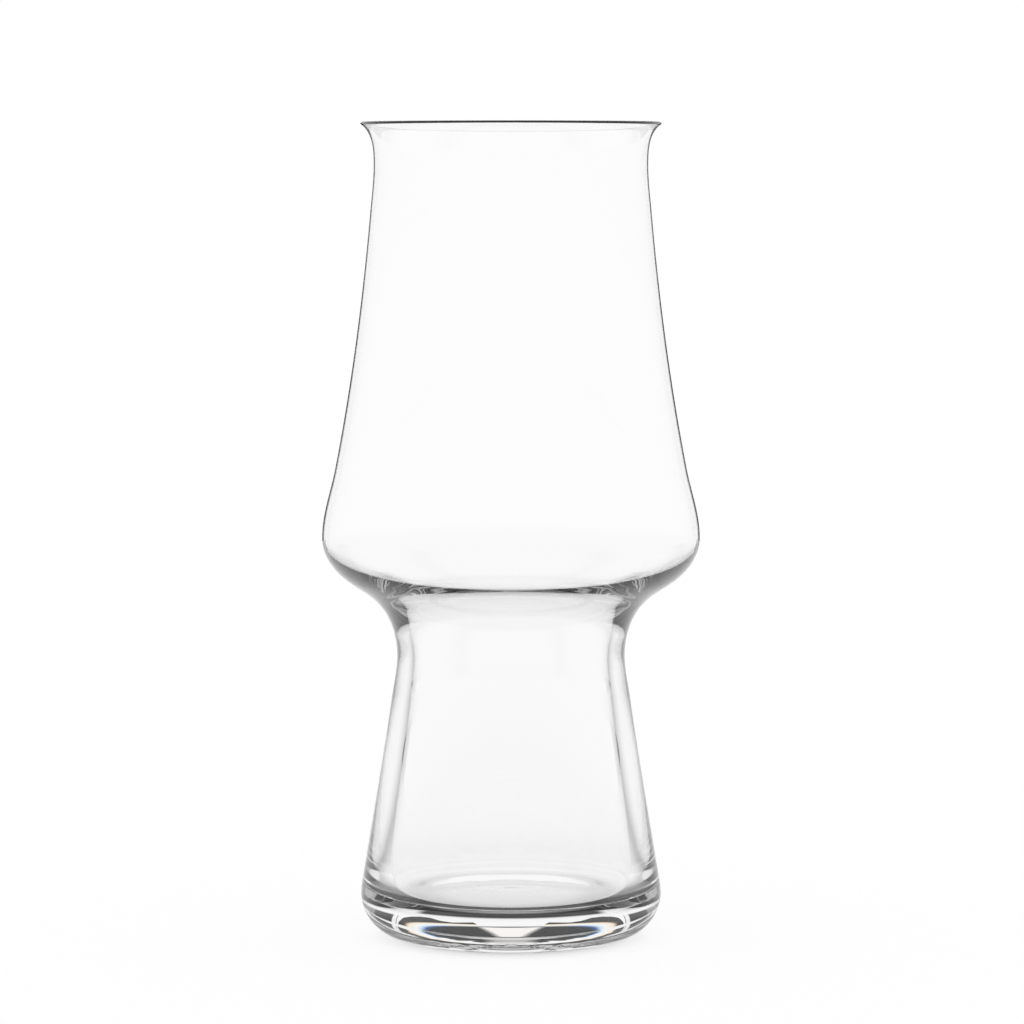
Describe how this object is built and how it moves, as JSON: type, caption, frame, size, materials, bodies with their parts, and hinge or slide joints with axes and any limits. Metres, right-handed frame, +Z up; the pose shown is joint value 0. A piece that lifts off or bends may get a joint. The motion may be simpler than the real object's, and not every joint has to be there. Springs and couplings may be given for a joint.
{
  "type": "beer glass",
  "caption": "Tall clear beer glass with a flared lip, a bell-shaped bowl, a waisted neck, a hollow tapered trunk and a heavy rounded base, for pouring and drinking beer.",
  "frame": {"origin": "centre of the ring that the glass stands on, at table level", "axes": "+Z up along the axis of revolution, from the base to the lip; X and Y are any two level directions"},
  "size_m": [0.081, 0.081, 0.175],
  "materials": {
    "clear_glass": "clear, fire polished"
  },
  "bodies": {
    "root": {"rim": "clear_glass", "bowl": "clear_glass", "shoulder": "clear_glass", "neck": "clear_glass", "trunk": "clear_glass", "base": "clear_glass"}
  },
  "joints": []
}
